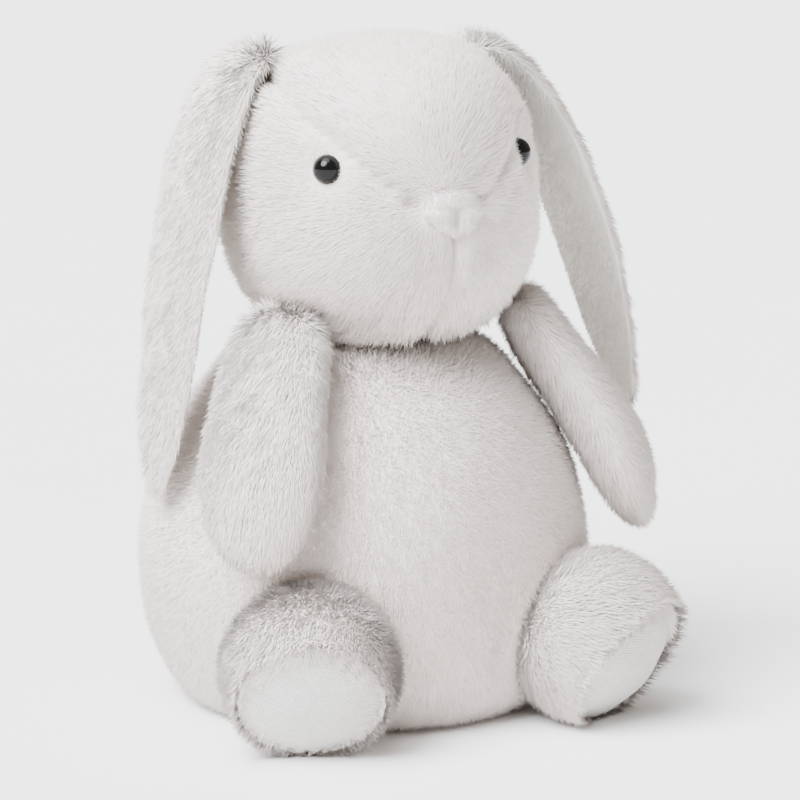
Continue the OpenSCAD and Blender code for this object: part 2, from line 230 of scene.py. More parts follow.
def pileTree():
    tree = bpy.data.node_groups.new("pile", "GeometryNodeTree")
    face = tree.interface
    face.new_socket("Skin", in_out="INPUT", socket_type="NodeSocketGeometry")
    for name, kind in (("Tuft", "NodeSocketObject"), ("Density", "NodeSocketFloat"),
                       ("Gap", "NodeSocketFloat"), ("Seed", "NodeSocketInt"), ("Long", "NodeSocketFloat"),
                       ("Wide", "NodeSocketFloat"), ("CombFrom", "NodeSocketVector"),
                       ("Rise", "NodeSocketFloat"), ("Lean", "NodeSocketFloat"),
                       ("Ruffle", "NodeSocketFloat"), ("Clump", "NodeSocketFloat"),
                       ("ClumpScale", "NodeSocketFloat")):
        face.new_socket(name, in_out="INPUT", socket_type=kind)
    face.new_socket("Pile", in_out="OUTPUT", socket_type="NodeSocketGeometry")
    nodes, links = tree.nodes, tree.links
    given = nodes.new("NodeGroupInput")
    made = nodes.new("NodeGroupOutput")

    def math3(kind, a, b=None, scale=None):
        node = nodes.new("ShaderNodeVectorMath")
        node.operation = kind
        links.new(a, node.inputs[0])
        if b is not None:
            links.new(b, node.inputs[1])
        if scale is not None:
            links.new(scale, node.inputs["Scale"])
        return node.outputs["Value"] if kind == "DOT_PRODUCT" else node.outputs["Vector"]

    def named(name, kind="FLOAT"):
        node = nodes.new("GeometryNodeInputNamedAttribute")
        node.data_type = kind
        node.inputs["Name"].default_value = name
        return node.outputs["Attribute"]

    spread = nodes.new("GeometryNodeDistributePointsOnFaces")
    spread.distribute_method = "POISSON"
    links.new(given.outputs["Skin"], spread.inputs["Mesh"])
    links.new(given.outputs["Density"], spread.inputs["Density Max"])
    links.new(given.outputs["Gap"], spread.inputs["Distance Min"])
    links.new(given.outputs["Seed"], spread.inputs["Seed"])
    links.new(named("pileDensity"), spread.inputs["Density Factor"])

    keep = nodes.new("GeometryNodeStoreNamedAttribute")
    keep.data_type = "FLOAT_VECTOR"
    keep.domain = "POINT"
    keep.inputs["Name"].default_value = "skinNormal"
    links.new(spread.outputs["Points"], keep.inputs["Geometry"])
    links.new(spread.outputs["Normal"], keep.inputs["Value"])

    # one number per tuft picks its tint
    pick = nodes.new("FunctionNodeRandomValue")
    pick.data_type = "FLOAT"
    links.new(given.outputs["Seed"], pick.inputs["Seed"])
    keepTint = nodes.new("GeometryNodeStoreNamedAttribute")
    keepTint.data_type = "FLOAT"
    keepTint.domain = "POINT"
    keepTint.inputs["Name"].default_value = "tint"
    links.new(keep.outputs["Geometry"], keepTint.inputs["Geometry"])
    links.new(pick.outputs[1], keepTint.inputs["Value"])

    normal = spread.outputs["Normal"]
    here = nodes.new("GeometryNodeInputPosition").outputs["Position"]
    away = math3("NORMALIZE", math3("SUBTRACT", here, given.outputs["CombFrom"]))
    upPart = math3("SCALE", normal, scale=math3("DOT_PRODUCT", away, normal))
    along = math3("SCALE", math3("SUBTRACT", away, upPart), scale=given.outputs["Lean"])
    rise = math3("SCALE", normal, scale=given.outputs["Rise"])

    loose = nodes.new("FunctionNodeRandomValue")
    loose.data_type = "FLOAT_VECTOR"
    loose.inputs[0].default_value = (-1, -1, -1)
    loose.inputs[1].default_value = (1, 1, 1)
    links.new(given.outputs["Seed"], loose.inputs["Seed"])
    ruffle = math3("SCALE", loose.outputs[0], scale=given.outputs["Ruffle"])

    waves = nodes.new("ShaderNodeTexNoise")
    waves.inputs["Detail"].default_value = 2
    links.new(here, waves.inputs["Vector"])
    links.new(given.outputs["ClumpScale"], waves.inputs["Scale"])
    centred = nodes.new("ShaderNodeVectorMath")
    centred.operation = "SUBTRACT"
    links.new(waves.outputs["Color"], centred.inputs[0])
    centred.inputs[1].default_value = (0.5, 0.5, 0.5)
    clump = math3("SCALE", centred.outputs["Vector"], scale=given.outputs["Clump"])

    total = math3("ADD", math3("ADD", rise, along), math3("ADD", ruffle, clump))
    aim = nodes.new("FunctionNodeAlignRotationToVector")
    aim.axis = "Z"
    links.new(total, aim.inputs["Vector"])

    sizes = nodes.new("ShaderNodeCombineXYZ")
    links.new(given.outputs["Wide"], sizes.inputs["X"])
    links.new(given.outputs["Wide"], sizes.inputs["Y"])
    links.new(given.outputs["Long"], sizes.inputs["Z"])
    vary = nodes.new("FunctionNodeRandomValue")
    vary.data_type = "FLOAT"
    vary.inputs[2].default_value = 0.7
    vary.inputs[3].default_value = 1.12
    links.new(given.outputs["Seed"], vary.inputs["Seed"])
    lengthHere = nodes.new("ShaderNodeMath")
    lengthHere.operation = "MULTIPLY"
    links.new(vary.outputs[1], lengthHere.inputs[0])
    links.new(named("pileLong"), lengthHere.inputs[1])
    scale = math3("SCALE", sizes.outputs["Vector"], scale=lengthHere.outputs["Value"])

    info = nodes.new("GeometryNodeObjectInfo")
    links.new(given.outputs["Tuft"], info.inputs["Object"])
    plant = nodes.new("GeometryNodeInstanceOnPoints")
    links.new(keepTint.outputs["Geometry"], plant.inputs["Points"])
    links.new(info.outputs["Geometry"], plant.inputs["Instance"])
    links.new(aim.outputs["Rotation"], plant.inputs["Rotation"])
    links.new(scale, plant.inputs["Scale"])
    real = nodes.new("GeometryNodeRealizeInstances")
    links.new(plant.outputs["Instances"], real.inputs["Geometry"])

    tinted = real.outputs["Geometry"]
    for index, above in ((1, 0.55), (2, 0.9)):
        compare = nodes.new("FunctionNodeCompare")
        compare.operation = "GREATER_THAN"
        links.new(named("tint"), compare.inputs[0])
        compare.inputs[1].default_value = above
        paint = nodes.new("GeometryNodeSetMaterialIndex")
        paint.inputs["Material Index"].default_value = index
        links.new(tinted, paint.inputs["Geometry"])
        links.new(compare.outputs["Result"], paint.inputs["Selection"])
        tinted = paint.outputs["Geometry"]
    links.new(tinted, made.inputs["Pile"])
    return tree


pileNodes = pileTree()
pileCount = 0


def growPile(name, skin, values, body):
    # skin is an open mesh object whose faces all carry pile
    global pileCount
    pileCount += 1
    modifier = skin.modifiers.new("pile", "NODES")
    modifier.node_group = pileNodes
    sockets = {s.name: s.identifier for s in pileNodes.interface.items_tree if s.in_out == "INPUT"}
    settings = {
        "Tuft": values.get("tuft", whiteTuft),
        "Density": values["perSquareMm"] * tuftValues["spread"],
        "Gap": tuftValues["apart"] / math.sqrt(values["perSquareMm"]) / 1000,
        "Seed": pileCount,
        "Long": values["long"],
        "Wide": values["wide"],
        "CombFrom": tuple(values["combFrom"]),
        "Rise": values["rise"],
        "Lean": values["lean"],
        "Ruffle": values["ruffle"],
        "Clump": values["clump"],
        "ClumpScale": values["clumpPerMetre"],
    }
    for key, value in settings.items():
        modifier[sockets[key]] = value
    graph = bpy.context.evaluated_depsgraph_get()
    graph.update()
    mesh = bpy.data.meshes.new_from_object(skin.evaluated_get(graph))
    skin.modifiers.remove(modifier)
    mesh.name = name
    mesh.shade_smooth()
    count = len(mesh.vertices)
    # tufts that would reach the ground are pressed flat on it
    place = np.zeros(count * 3, np.float32)
    mesh.vertices.foreach_get("co", place)
    height = place[2::3]
    low, give = tuftValues["groundHeight"], tuftValues["groundGive"]
    place[2::3] = np.where(height < low, low * np.exp((height - low) / give), height)
    mesh.vertices.foreach_set("co", place)
    skinNormal = np.zeros(count * 3, np.float32)
    mesh.attributes["skinNormal"].data.foreach_get("vector", skinNormal)
    ownNormal = np.zeros(count * 3, np.float32)
    mesh.vertices.foreach_get("normal", ownNormal)
    blended = (skinNormal.reshape(-1, 3) * values.get("follow", 0.7)
               + ownNormal.reshape(-1, 3) * tuftValues["ownNormal"])
    blended /= np.maximum(np.linalg.norm(blended, axis=1, keepdims=True), 1e-6)
    mesh.attributes.remove(mesh.attributes["skinNormal"])
    mesh.attributes.remove(mesh.attributes["tint"])
    mesh.normals_split_custom_set_from_vertices(blended.tolist())
    pile = bpy.data.objects.new(name, mesh)
    bpy.context.scene.collection.objects.link(pile)
    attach(pile, body)
    print(name, count // 4, "tufts")
    return pile


def setPile(piece, density=None, long=None):
    # how thick and how long the pile is at each vertex, 1 where nothing is said
    for name, rule in (("pileDensity", density), ("pileLong", long)):
        layer = piece.data.attributes.new(name, "FLOAT", "POINT")
        for vertex, slot in zip(piece.data.vertices, layer.data):
            slot.value = 1 if rule is None else rule(vertex.co)


def dressSkin(name, bm, body, nodes, values, density=None, long=None, wall=0.003):
    # one panel of plush: the backing with its wall, and the pile on its outside
    skin = toObject(bm, name, whiteBacking)
    setPile(skin, density, long)
    pile = growPile(name + "Pile", skin, values, body)
    thicken(skin, wall)
    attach(skin, body)
    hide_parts(*nodes)
    return skin


def keepFaces(bm, test):
    # a copy of the mesh with only the faces that pass
    part = bm.copy()
    gone = [f for f in part.faces if not test(f.calc_center_median())]
    bmesh.ops.delete(part, geom=gone, context="FACES")
    return part


# ---- curves for limbs ----

def curveAt(path, t):
    a, b, c, d = (Vector(p) for p in path)
    return a * (1 - t) ** 3 + b * 3 * t * (1 - t) ** 2 + c * 3 * t * t * (1 - t) + d * t ** 3


def slopeAt(path, t):
    a, b, c, d = (Vector(p) for p in path)
    return (b - a) * (1 - t) ** 2 + (c - b) * 2 * t * (1 - t) + (d - c) * t * t


def limbPatch(path, widths, thicks, sharps, fromTurn, toTurn, facing=None, rows=40, columns=28):
    # a grid bent round a limb: rows run along it, columns round it from one turn to the other
    bm = bmesh.new()
    bmesh.ops.create_grid(bm, x_segments=rows, y_segments=columns, size=1)
    for v in bm.verts:
        s = (1 - math.cos(math.pi * (v.co.x + 1) / 2)) / 2
        turn = math.radians(mix(fromTurn, toTurn, (v.co.y + 1) / 2))
        middle = curveAt(path, s)
        ahead = slopeAt(path, s).normalized()
        out = Vector(facing) if facing else Vector((middle.x, middle.y, 0)).normalized()
        across = ahead.cross(out).normalized()
        up = across.cross(ahead)
        k = math.sqrt(max(0, 1 - abs(2 * s - 1) ** sharps[0 if s < 0.5 else 1]))
        v.co = (middle + across * mix(*widths, s) / 2 * k * math.sin(turn)
                + up * mix(*thicks, s) / 2 * k * math.cos(turn))
    bmesh.ops.remove_doubles(bm, verts=bm.verts, dist=0.00002)
    bmesh.ops.dissolve_degenerate(bm, edges=bm.edges, dist=0.00001)
    return bm


def faceOutwards(bm, inside):
    # turns an open patch so that it looks away from a point or a function of the place
    total = 0
    for f in bm.faces:
        centre = f.calc_center_median()
        middle = inside(centre) if callable(inside) else inside
        total += f.normal.dot(centre - middle) * f.calc_area()
    if total < 0:
        bmesh.ops.reverse_faces(bm, faces=bm.faces)


# ---- body ----

seatLow, seatHigh = (Vector(c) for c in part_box("seat_panel"))
bellyLow, bellyHigh = (Vector(c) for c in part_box("belly_panel"))
bodyValues = {
    "inset": 0.001,
    "seatRadius": seatHigh.x,
    "radius": -bellyLow.y,
    "top": bellyHigh.z,
    "wideHeight": 0.072,
    "neckRadius": 0.052,
    "bellySpan": 130,
    "rings": 34,
    "steps": 144,
    "footGap": 0.0035,
}
footValues = {
    "radius": 0.041,
    "reach": 0.020,
    "dip": 30,
    "turn": {"left": 20, "right": 29},
    "toe": {"left": 1.07, "right": 1.0},
    "soleDome": 0.012,
    "pleats": 26,
}


joints = {j["name"]: j for j in frame["joints"]}
footCentre = {side: Vector(joints["leg_" + side + "_lift"]["pos_m"]) for side in ("left", "right")}


def bodyOutline(g):
    b = bodyValues
    points = [(0, g)]
    n = b["rings"] // 2
    for k in range(1, 5):
        points.append((b["seatRadius"] * k / 5, g))
    for k in range(n + 1):
        a = math.radians(90 - 90 * k / n)
        points.append((b["seatRadius"] + (b["radius"] - b["seatRadius"] - g) * math.cos(a),
                       b["wideHeight"] - (b["wideHeight"] - g) * math.sin(a)))
    for k in range(1, n + 1):
        a = math.radians(90 * k / n)
        points.append((b["neckRadius"] + (b["radius"] - b["neckRadius"] - g) * math.cos(a) ** 1.5,
                       b["wideHeight"] + (b["top"] - g - b["wideHeight"]) * math.sin(a)))
    for k in range(1, 5):
        points.append((b["neckRadius"] * (1 - k / 4), b["top"] - g))
    return points


def spinOutline(points, steps):
    bm = bmesh.new()
    verts = [bm.verts.new((r, 0, z)) for r, z in points]
    for a, b in zip(verts, verts[1:]):
        bm.edges.new((a, b))
    bmesh.ops.spin(bm, geom=bm.verts[:] + bm.edges[:], cent=(0, 0, 0), axis=(0, 0, 1),
                   angle=2 * math.pi, steps=steps, use_merge=True)
    bmesh.ops.remove_doubles(bm, verts=bm.verts, dist=0.00001)
    bmesh.ops.recalc_face_normals(bm, faces=bm.faces)
    return bm


def shapeBody(bm):
    for v in bm.verts:
        co = v.co.copy()
        # the filling is uneven under the cloth
        out = Vector((co.x, co.y, (co.z - 0.08) * 0.4)).normalized()
        lift = smoothStep(0.004, 0.03, co.z)
        v.co += out * 0.0022 * ripple(co, 0.055, 3) * lift
        # cloth pulled round each foot
        for side in ("left", "right"):
            away = v.co - footCentre[side]
            reach = footValues["radius"] + bodyValues["footGap"]
            if away.length < reach:
                v.co = footCentre[side] + away.normalized() * reach
        # a short crease low on the belly
        if co.y < 0:
            v.co += out * -0.003 * hill(co.x - 0.012, 0.003) * hill(co.z - 0.045, 0.016)
    return bm


bodyPile = {
    "perSquareMm": 1.0, "long": 0.0060, "wide": 0.00042, "combFrom": (0, -0.03, 0.55),
    "rise": 1.0, "lean": 0.7, "ruffle": 0.45, "clump": 1.7, "clumpPerMetre": 230,
}

bodyForm = shapeBody(spinOutline(bodyOutline(bodyValues["inset"]), bodyValues["steps"]))


def bodySector(co):
    # angle from straight ahead, positive on the bunny's left
    return math.degrees(math.atan2(co.x, -co.y))


def onSeat(co):
    return co.z < 0.0035 and math.hypot(co.x, co.y) < bodyValues["seatRadius"]


def bodyLong(co):
    # the pile stands longer round the neck, where nothing has pressed it down
    return 1 + 0.3 * smoothStep(0.163, 0.182, co.z)


half = bodyValues["bellySpan"] / 2
dressSkin("bellyPanel", keepFaces(bodyForm, lambda c: abs(bodySector(c)) < half and not onSeat(c)),
          "torso", ["belly_panel"], bodyPile, long=bodyLong)
dressSkin("backPanelLeft", keepFaces(bodyForm, lambda c: bodySector(c) >= half and not onSeat(c)),
          "torso", ["back_panel_left"], bodyPile, long=bodyLong)
dressSkin("backPanelRight", keepFaces(bodyForm, lambda c: bodySector(c) <= -half and not onSeat(c)),
          "torso", ["back_panel_right"], bodyPile, long=bodyLong)
seat = toObject(keepFaces(bodyForm, onSeat), "seatPanel", whiteBacking)
thicken(seat, 0.003)
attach(seat, "torso")
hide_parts("seat_panel")
bodyForm.free()
print("body dressed")

# ---- head ----

headValues = {
    "radius": 0.0775,
    "height": 0.147,
    "square": 2.7,
    "centre": Vector((0, -0.018, 0.2635)),
    "turn": 4,
    "lean": 2.5,
    "inset": 0.001,
    "gussetNose": 0.014,
    "gussetEar": 0.058,
    "gussetLow": -0.006,
    "backSeam": 0.030,
    "muzzle": 0.0045,
    "seamDepth": 0.0036,
    "seamWidth": 0.0033,
    "eye": Vector((0.056, -0.053, 0.017)),
    "eyeDent": 0.0045,
    "eyeShort": 0.86,
    "eyeShortReach": 0.0165,
    "eyeClear": 1.15,
    "noseDown": 0.006,
    "steps": 160,
    "rings": 60,
}
eyePlaces = [Vector((headValues["eye"].x * side, *headValues["eye"].yz)) for side in (1, -1)]
nodCentre = Vector(joints["neck_nod"]["pos_m"])
headPose = (Matrix.Translation(nodCentre)
            @ Matrix.Rotation(math.radians(-headValues["turn"]), 4, "Z")
            @ Matrix.Rotation(math.radians(-headValues["lean"]), 4, "Y")
            @ Matrix.Translation(-nodCentre))


def headOutline(g):
    h = headValues
    a, b, p = h["radius"] - g, h["height"] / 2 - g, 2 / h["square"]
    points = [(0, -b)]
    n = h["rings"]
    for k in range(1, n):
        t = math.radians(-90 + 180 * k / n)
        s = math.sin(t)
        points.append((a * math.cos(t) ** p, b * math.copysign(abs(s) ** p, s)))
    points.append((0, b))
    return points


def gussetHalfWidth(z):
    # half width of the brow gusset at a height above the head's centre
    h = headValues
    rows = [(h["gussetLow"], h["gussetNose"]), (0.022, 0.75 * h["gussetEar"]), (0.042, h["gussetEar"]),
            (0.2, h["gussetEar"])]
    if z < rows[0][0]:
        return 0
    for (z0, w0), (z1, w1) in zip(rows, rows[1:]):
        if z <= z1:
            return mix(w0, w1, (z - z0) / (z1 - z0))
    return rows[-1][1]


def seamDistance(co):
    # how far a point of the head, from its centre, is from the nearest seam
    near = abs(co.y - headValues["backSeam"])
    if co.y < headValues["backSeam"]:
        w = gussetHalfWidth(co.z)
        if w > 0:
            slope = 0.75 if co.z < 0.042 else 1
            near = min(near, abs(abs(co.x) - w) * slope)
        elif co.y < 0:
            near = min(near, abs(co.x))
    return near


def shapeHead(bm):
    h = headValues
    for v in bm.verts:
        co = v.co.copy()
        out = Vector((co.x, co.y, co.z * 0.9)).normalized()
        if co.y < 0:
            v.co += Vector((0, -1, -0.25)) * h["muzzle"] * hill(co.x, 0.040) * hill(co.z + 0.030, 0.026)
            v.co += out * -0.0015 * hill(co.x, 0.03) * hill(co.z - 0.028, 0.03)
        v.co += out * 0.0016 * ripple(co, 0.05, 7)
        v.co -= out * h["seamDepth"] * hill(seamDistance(co), h["seamWidth"])
        for eye in eyePlaces:
            v.co -= out * h["eyeDent"] * hill((co - eye).length, 0.0105)
    return bm


headForm = shapeHead(spinOutline(headOutline(headValues["inset"]), headValues["steps"]))
headPile = {
    "perSquareMm": 1.7, "long": 0.0092, "wide": 0.00040, "combFrom": None,
    "rise": 0.5, "lean": 0.85, "ruffle": 0.2, "clump": 1.0, "clumpPerMetre": 120, "follow": 1.4,
}
toHead = headPose @ Matrix.Translation(headValues["centre"])
headPile["combFrom"] = toHead @ Vector((0, -0.085, 0.004))
fromHead = toHead.inverted()
eyeRadius = 0.0073


def headLong(co):
    # shorter pile on the muzzle, along the seams and round the eyes
    p = fromHead @ co
    size = 1 - 0.35 * hill(p.x, 0.03) * hill(p.z + 0.01, 0.03) * (1 if p.y < 0 else 0)
    size *= 1 - 0.55 * hill(seamDistance(p), 0.003)
    for eye in eyePlaces:
        size *= 1 - headValues["eyeShort"] * hill((p - eye).length, headValues["eyeShortReach"])
    root = hill(abs(p.x) - 0.058, 0.012) * hill(p.y - 0.012, 0.03) * smoothStep(0.03, 0.05, p.z)
    return size * (1 + 0.45 * smoothStep(-0.05, -0.066, p.z) + 0.7 * root)


def headDensity(co):
    p = fromHead @ co
    if p.y < -0.03 and insideNose(p.x, p.z + headValues["noseDown"], 1.07):
        return 0
    for eye in eyePlaces:
        if (p - eye).length < eyeRadius * headValues["eyeClear"]:
            return 0
    return 1


noseValues = {
    "width": 0.033,
    "height": 0.023,
    "puff": 0.0062,
    "backing": 0.0003,
}


def noseEdge(angle):
    # distance from the nose's middle to its outline: broad at the top, narrow at the foot
    a = Vector((math.cos(angle), math.sin(angle)))
    w, h = noseValues["width"] / 2, noseValues["height"] / 2
    sharp = 2.15
    top = (abs(a.x / w) ** sharp + abs(a.y / h) ** sharp) ** (-1 / sharp)
    if a.y >= 0:
        return top
    # lower half: two straight sides that meet in a round foot
    side = 1 / (abs(a.x) / w + abs(a.y) / (h * 1.12))
    return mix(side, top, 0.36)


def insideNose(x, z, grow=1):
    return math.hypot(x, z) < noseEdge(math.atan2(z, x)) * grow


def isGusset(c):
    return c.y < headValues["backSeam"] and abs(c.x) < gussetHalfWidth(c.z)


headParts = {
    "headGusset": (["head_gusset"], isGusset),
    "faceLeft": (["face_left"], lambda c: c.y < headValues["backSeam"] and not isGusset(c) and c.x >= 0),
    "faceRight": (["face_right"], lambda c: c.y < headValues["backSeam"] and not isGusset(c) and c.x < 0),
    "headBack": (["head_back"], lambda c: c.y >= headValues["backSeam"]),
}
for name, (nodes, test) in headParts.items():
    part = keepFaces(headForm, test)
    bmesh.ops.transform(part, matrix=toHead, verts=part.verts)
    dressSkin(name, part, "head", nodes, headPile, headDensity, headLong)


def headSurface(x, z):
    # y of the shaped head at a place on its front, from its centre
    best = None
    for v in noseRegion:
        d = (v[0] - x) ** 2 + (v[2] - z) ** 2
        if best is None or d < best[0]:
            best = (d, v[1])
    return best[1]


noseRegion = [tuple(v.co) for v in headForm.verts
              if v.co.y < -0.04 and abs(v.co.x) < 0.03 and -0.045 < v.co.z < 0.025]


def noseMaterial():
    material, nodes, links, shader, place = startMaterial("noseVelour")
    mottle = addNoise(nodes, links, place, 260)
    addColor(nodes, links, shader, mottle, (0.88, 0.86, 0.83), (0.93, 0.915, 0.895))
    grain = addNoise(nodes, links, place, 2600, 2)
    addBump(nodes, links, shader, grain, 0.5, 0.0004)
    shader.inputs["Roughness"].default_value = 0.9
    shader.inputs["Sheen Weight"].default_value = 0.4
    return material


def makeNose():
    bm = bmesh.new()
    bmesh.ops.create_uvsphere(bm, u_segments=64, v_segments=24, radius=1)
    bmesh.ops.rotate(bm, cent=(0, 0, 0), matrix=Matrix.Rotation(math.radians(90), 3, "X"), verts=bm.verts)
    for v in bm.verts:
        x, y, z = v.co
        ring = math.hypot(x, z)
        edge = noseEdge(math.atan2(z, x)) if ring > 1e-6 else 0
        px, pz = (x / ring * edge * ring, z / ring * edge * ring) if ring > 1e-6 else (0, 0)
        pz -= headValues["noseDown"]
        base = headSurface(px, pz)
        front = math.sqrt(max(0, 1 - ring ** 2.4))
        v.co = Vector((px, base + (-noseValues["puff"] * front if y < 0 else 0.002 * front), pz))
    for _ in range(2):
        smoothAll(bm, 0.4)
    bmesh.ops.recalc_face_normals(bm, faces=bm.faces)
    bmesh.ops.transform(bm, matrix=toHead, verts=bm.verts)
    return toObject(bm, "nose", noseMaterial())


nosePile = {
    "perSquareMm": 2.2, "long": 0.0026, "wide": 0.00032, "combFrom": toHead @ Vector((0, -0.07, 0.03)),
    "rise": 0.8, "lean": 0.9, "ruffle": 0.35, "clump": 0.8, "clumpPerMetre": 200,
}
nose = makeNose()


def noseDensity(co):
    # only the nose's front carries pile
    p = fromHead @ co
    return 1 if p.y < headSurface(p.x, p.z) - noseValues["backing"] else 0


setPile(nose, noseDensity)
noseHair = growPile("nosePile", nose, nosePile, "head")
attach(nose, "head")
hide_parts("nose")
headForm.free()
print("head dressed")

# ---- eyes ----

eyeValues = {"shine": 0.22}


def eyeMaterial():
    material, nodes, links, shader, place = startMaterial("eyeBlack")
    haze = addNoise(nodes, links, place, 900, 2)
    addColor(nodes, links, shader, haze, (0.0015, 0.0015, 0.0018), (0.004, 0.0035, 0.0035))
    fine = addNoise(nodes, links, place, 350, 1)
    rough = nodes.new("ShaderNodeMapRange")
    rough.inputs["To Min"].default_value = 0.08
    rough.inputs["To Max"].default_value = 0.14
    links.new(fine, rough.inputs["Value"])
    links.new(rough.outputs["Result"], shader.inputs["Roughness"])
    shader.inputs["Specular IOR Level"].default_value = eyeValues["shine"]
    return material


def washerMaterial():
    material, nodes, links, shader, place = startMaterial("washerPlastic")
    mottle = addNoise(nodes, links, place, 300)
    addColor(nodes, links, shader, mottle, (0.78, 0.78, 0.77), (0.84, 0.84, 0.83))
    grain = addNoise(nodes, links, place, 3000, 2)
    addBump(nodes, links, shader, grain, 0.2, 0.0002)
    shader.inputs["Roughness"].default_value = 0.5
    return material


eyeBlack, washerWhite = eyeMaterial(), washerMaterial()
for side in ("left", "right"):
    for node, material in (("eye_" + side, eyeBlack), ("eye_washer_" + side, washerWhite)):
        carried = frame["nodes"][node]
        carried.data.materials.clear()
        carried.data.materials.append(material)
        for polygon in carried.data.polygons:
            polygon.material_index = 0

# ---- ears ----

earValues = {
    "path": {
        "left": [(0.055, 0.003, 0.330), (0.098, 0.003, 0.332), (0.112, 0.003, 0.232), (0.119, 0.003, 0.117)],
        "right": [(0.055, 0.003, 0.330), (0.090, 0.003, 0.332), (0.104, 0.003, 0.232), (0.119, 0.003, 0.117)],
    },
    "hang": {"left": 14, "right": 0},
    "widths": (0.050, 0.060),
    "backThick": 0.0090,
    "liningThick": 0.0050,
    "sharps": (4, 2.6),
}
earPile = {
    "perSquareMm": 1.7, "long": 0.0088, "wide": 0.00040, "combFrom": None,
    "rise": 0.5, "lean": 0.95, "ruffle": 0.2, "clump": 1.0, "clumpPerMetre": 120, "follow": 1.4,
}
liningPile = {
    "perSquareMm": 0.8, "long": 0.0026, "wide": 0.00036, "combFrom": None, "tuft": liningTuft,
    "rise": 0.8, "lean": 0.7, "ruffle": 0.35, "clump": 0.8, "clumpPerMetre": 80,
}


def liningMaterial():
    material, nodes, links, shader, place = startMaterial("earLining")
    mottle = addNoise(nodes, links, place, 120)
    addColor(nodes, links, shader, mottle, (0.82, 0.76, 0.68), (0.90, 0.86, 0.80))
    grain = addNoise(nodes, links, place, 1900, 3)
    addBump(nodes, links, shader, grain, 0.6, 0.0005)
    shader.inputs["Roughness"].default_value = 0.92
    shader.inputs["Sheen Weight"].default_value = 0.3
    return material


liningCloth = liningMaterial()


def earMatrix(side):
    root = Vector(earValues["path"][side][0])
    hang = (Matrix.Translation(root) @ Matrix.Rotation(math.radians(-earValues["hang"][side]), 4, "Y")
            @ Matrix.Translation(-root))
    return hang if side == "left" else Matrix.Scale(-1, 4, (1, 0, 0)) @ hang


def waveEar(bm, seed):
    for v in bm.verts:
        v.co += Vector((0.0022 * ripple(v.co, 0.05, seed), 0.0016 * ripple(v.co, 0.035, seed + 9), 0))


for side in ("left", "right"):
    e = earValues
    path = e["path"][side]
    matrix = earMatrix(side)
    for layer, thick, turns, pile, node, slotName in (
            ("Back", e["backThick"], (-90, 90), earPile, "back", "long_pile_plush"),
            ("Lining", e["liningThick"], (90, 270), liningPile, "lining", "ear_lining_cloth")):
        bm = limbPatch(path, e["widths"], (thick, thick), e["sharps"], *turns, facing=(1, 0, 1),
                       rows=60, columns=24)
        waveEar(bm, 2 if side == "left" else 5)
        bmesh.ops.transform(bm, matrix=matrix, verts=bm.verts)
        bmesh.ops.recalc_face_normals(bm, faces=bm.faces)
        outward = matrix.to_3x3() @ (Vector((1, 0, 0)) if layer == "Back" else Vector((-1, 0, 0)))
        if sum(f.normal.dot(outward) * f.calc_area() for f in bm.faces) < 0:
            bmesh.ops.reverse_faces(bm, faces=bm.faces)
        name = "ear" + side.capitalize() + layer
        skin = toObject(bm, name, whiteBacking if layer == "Back" else liningCloth)
        root = matrix @ Vector(path[0])
        rootLong = 0.4 if layer == "Back" else 2.2
        setPile(skin, long=lambda c: 1 + rootLong * hill((c - root).length, 0.055))
        pile = dict(pile, combFrom=matrix @ Vector((0.03, 0.003, 0.40)))
        hair = growPile(name + "Pile", skin, pile, "ear_" + side)
        thicken(skin, 0.0016)
        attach(skin, "ear_" + side)
        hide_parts("ear_" + side + "_" + node)
print("ears dressed")

# ---- arms ----

armValues = {
    "path": [(0.070, -0.038, 0.2085), (0.073, -0.041, 0.177), (0.104, -0.069, 0.158), (0.110, -0.087, 0.095)],
    "widths": (0.049, 0.064),
    "thicks": (0.0235, 0.031),
    "sharps": (4.5, 3.8),
    "wave": 0.0015,
}
armPile = {
    "perSquareMm": 1.7, "long": 0.0092, "wide": 0.00040, "combFrom": None,
    "rise": 0.55, "lean": 0.9, "ruffle": 0.2, "clump": 0.8, "clumpPerMetre": 120, "follow": 1.8,
}
for side in ("left", "right"):
    flip = Matrix.Identity(4) if side == "left" else Matrix.Scale(-1, 4, (1, 0, 0))
    for layer, turns in (("Outer", (-90, 90)), ("Inner", (90, 270))):
        a = armValues
        bm = limbPatch(a["path"], a["widths"], a["thicks"], a["sharps"], *turns)
        for v in bm.verts:
            wave = Vector((1, -0.6, 0)).normalized() * armValues["wave"]
            v.co += wave * ripple(v.co, 0.04, 4 if side == "left" else 11)
        bmesh.ops.transform(bm, matrix=flip, verts=bm.verts)
        bmesh.ops.recalc_face_normals(bm, faces=bm.faces)
        axis = [flip @ curveAt(armValues["path"], k / 20) for k in range(21)]
        faceOutwards(bm, lambda c: min(axis, key=lambda p: (p - c).length))
        pile = dict(armPile, combFrom=flip @ Vector((0.03, 0.0, 0.30)))
        dressSkin("arm" + side.capitalize() + layer, bm, "arm_" + side,
                  ["arm_" + side + "_" + layer.lower()], pile,
                  long=lambda c: 1 + 0.15 * smoothStep(0.185, 0.205, c.z))
print("arms dressed")

# ---- feet ----

footPile = {
    "perSquareMm": 1.7, "long": 0.0092, "wide": 0.00040, "combFrom": None,
    "rise": 0.6, "lean": 0.85, "ruffle": 0.2, "clump": 0.7, "clumpPerMetre": 120, "follow": 1.8,
}


